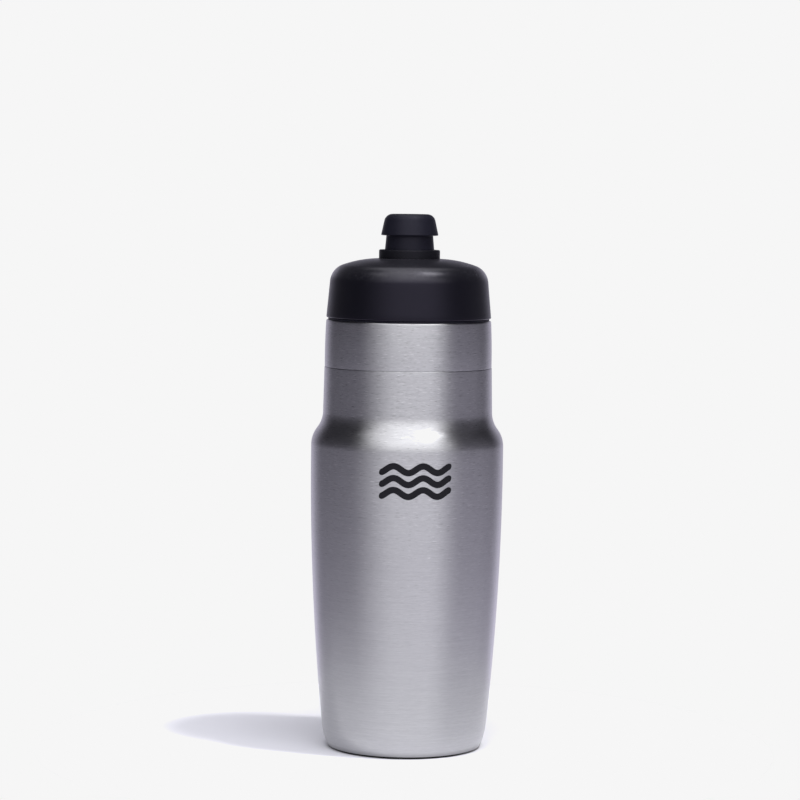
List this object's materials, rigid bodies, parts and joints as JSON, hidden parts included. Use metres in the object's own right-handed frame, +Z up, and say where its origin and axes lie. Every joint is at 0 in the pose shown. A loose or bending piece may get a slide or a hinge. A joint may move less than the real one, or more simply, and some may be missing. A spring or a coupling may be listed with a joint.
{
  "type": "bicycle water bottle",
  "caption": "Stainless steel bicycle water bottle: waisted body, black screw cap with a rounded top, and a push-pull drinking spout that vents through an inner straw.",
  "frame": {"origin": "centre of the standing ring, on the surface that the bottle stands on", "axes": "+Z up along the bottle's axis to the spout; +X to the right and -Y towards the viewer who sees the printed mark; the vent straw is on the +X side"},
  "size_m": [0.073, 0.073, 0.203],
  "materials": {
    "brushed_steel": "fine brushing round the body, satin",
    "soft_touch": "soft-touch matte, faint rub marks on the crown",
    "black_plastic": "fine moulded grain",
    "silicone": "satin silicone",
    "straw_plastic": "milky, natural"
  },
  "bodies": {
    "bottle": {"body_shell": "brushed_steel", "base_plate": "brushed_steel", "neck_band": "brushed_steel", "thread_ring": "brushed_steel"},
    "gasket": {"cap_gasket": "silicone"},
    "cap": {"cap_cover": "soft_touch", "cap_core": "black_plastic", "stopper": "black_plastic", "vent_straw": "straw_plastic"},
    "spout": {"spout_core": "black_plastic", "spout_o_ring": "silicone", "mouthpiece": "silicone"}
  },
  "joints": [
    {"name": "cap_rise", "type": "slide", "parent": "bottle", "child": "gasket", "axis": [0, 0, 1], "range_m": [0, 0.0076]},
    {"name": "cap_turn", "type": "hinge", "parent": "gasket", "child": "cap", "pos_m": [0, 0, 0.16285], "axis": [0, 0, 1], "range_deg": [0, 450]},
    {"name": "spout_pull", "type": "slide", "parent": "cap", "child": "spout", "axis": [0, 0, 1], "range_m": [0, 0.006]}
  ],
  "couplings": [
    {"joint": "cap_rise", "follows": "cap_turn", "m_per_rad": 0.00095493}
  ]
}
